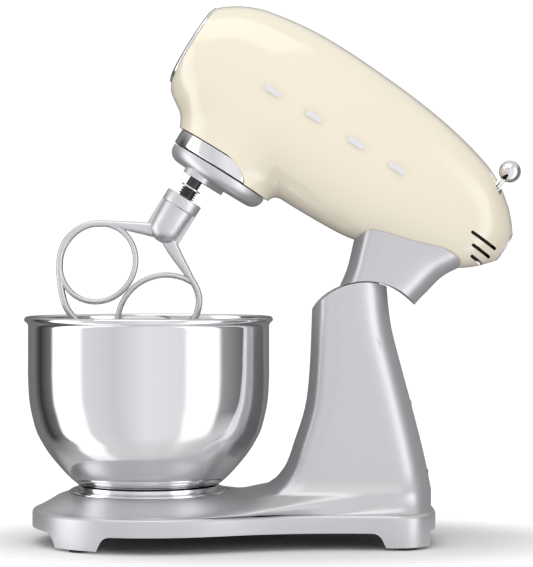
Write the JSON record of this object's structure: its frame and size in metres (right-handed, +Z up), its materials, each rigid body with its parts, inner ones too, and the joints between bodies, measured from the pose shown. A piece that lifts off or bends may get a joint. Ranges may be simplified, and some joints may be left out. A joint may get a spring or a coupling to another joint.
{
  "type": "stand mixer",
  "caption": "Tilt-head kitchen stand mixer with its head raised, flat beater fitted, and a steel bowl on its base.",
  "frame": {"origin": "on the table, under the middle of the open mixer's box", "axes": "+Z up, -X towards the bowl and the nose, +X towards the column and the back, Y across"},
  "size_m": [0.4537, 0.2268, 0.4877],
  "materials": {
    "cream_shell": "gloss",
    "silver_paint": "satin",
    "bright_steel": "polished",
    "bowl_steel": "polished",
    "cast_aluminium": "satin",
    "grey_steel": "satin",
    "bronze": "satin",
    "rubber": "matte",
    "black_plastic": "matte",
    "motor_winding": "satin",
    "circuit_board": "matte"
  },
  "bodies": {
    "stand": {"stand_casting": "silver_paint", "base_bottom_cover": "black_plastic", "cover_screw_1": "grey_steel", "cover_screw_2": "grey_steel", "cover_screw_3": "grey_steel", "cover_screw_4": "grey_steel", "foot_pad_1": "rubber", "foot_pad_2": "rubber", "foot_pad_3": "rubber", "foot_pad_4": "rubber", "bowl_seat_plate": "bright_steel", "seat_screw": "grey_steel", "hinge_pin": "grey_steel", "hinge_bush_left": "bronze", "hinge_bush_right": "bronze", "cable_gland": "rubber", "terminal_block": "black_plastic", "release_spring": "grey_steel"},
    "head": {"neck_casting": "silver_paint", "head_housing": "cream_shell", "nose_disc": "bright_steel", "rear_disc": "bright_steel", "trim_bar_1": "bright_steel", "trim_bar_2": "bright_steel", "trim_bar_3": "bright_steel", "trim_bar_4": "bright_steel", "trim_bar_5": "bright_steel", "trim_bar_6": "bright_steel", "trim_bar_7": "bright_steel", "trim_bar_8": "bright_steel", "vent_grille_left": "black_plastic", "vent_grille_right": "black_plastic", "hub_ring": "bright_steel", "ring_gear": "grey_steel", "gearbox_plate": "cast_aluminium", "gearbox_cover": "cast_aluminium", "main_bearing": "grey_steel", "motor_stator": "motor_winding", "control_board": "circuit_board", "speed_switch": "black_plastic", "drive_belt": "rubber"},
    "planet": {"planet_disc": "cast_aluminium", "main_shaft": "grey_steel", "main_gear": "grey_steel"},
    "beater_drive": {"beater_shaft": "bright_steel", "planet_pinion": "grey_steel", "cross_pin": "grey_steel", "shaft_washer": "bright_steel", "beater_spring": "grey_steel"},
    "beater": {"flat_beater": "cast_aluminium"},
    "layshaft_body": {"layshaft": "grey_steel", "belt_pulley": "black_plastic"},
    "rotor_body": {"motor_rotor": "grey_steel", "motor_pulley": "grey_steel", "cooling_fan": "black_plastic"},
    "lever": {"speed_lever": "bright_steel", "lever_knob": "bright_steel"},
    "bowl_body": {"bowl": "bowl_steel", "bowl_foot": "bowl_steel"},
    "button": {"release_button": "silver_paint"}
  },
  "joints": [
    {"name": "head_tilt", "type": "hinge", "parent": "stand", "child": "head", "pos_m": [0.08352, 0, 0.1776], "axis": [0, 1, 0], "range_deg": [-32, 0]},
    {"name": "planet_spin", "type": "hinge", "parent": "head", "child": "planet", "pos_m": [-0.04907, 0, 0.33698], "axis": [0.5299, 0, 0.848], "continuous": true},
    {"name": "beater_spin", "type": "hinge", "parent": "planet", "child": "beater_drive", "pos_m": [-0.05984, -0.02467, 0.34371], "axis": [0.5299, 0, 0.848], "continuous": true},
    {"name": "beater_slide", "type": "slide", "parent": "beater_drive", "child": "beater", "axis": [-0.5299, 0, -0.848], "range_m": [-0.003, 0.03], "deforming": ["beater_spring"]},
    {"name": "speed_lever_swing", "type": "hinge", "parent": "head", "child": "lever", "pos_m": [0.18048, 0, 0.28729], "axis": [0.848, 0, -0.5299], "range_deg": [-30, 30]},
    {"name": "release_press", "type": "slide", "parent": "stand", "child": "button", "axis": [-1, 0, 0], "range_m": [0, 0.005], "stiffness_N_per_m": 600, "springref_m": -0.003, "deforming": ["release_spring"]},
    {"name": "bowl_lift", "type": "slide", "parent": "stand", "child": "bowl_body", "axis": [0, 0, 1], "range_m": [0, 0.06]},
    {"name": "layshaft_spin", "type": "hinge", "parent": "head", "child": "layshaft_body", "pos_m": [0.00419, 0, 0.3373], "axis": [0.5299, 0, 0.848], "continuous": true},
    {"name": "rotor_spin", "type": "hinge", "parent": "head", "child": "rotor_body", "pos_m": [0.13616, 0, 0.35035], "axis": [0.5299, 0, 0.848], "continuous": true}
  ],
  "couplings": [
    {"joint": "beater_spin", "follows": "planet_spin", "ratio": -3.0556},
    {"joint": "layshaft_spin", "follows": "planet_spin", "ratio": -5},
    {"joint": "rotor_spin", "follows": "planet_spin", "ratio": -25}
  ]
}
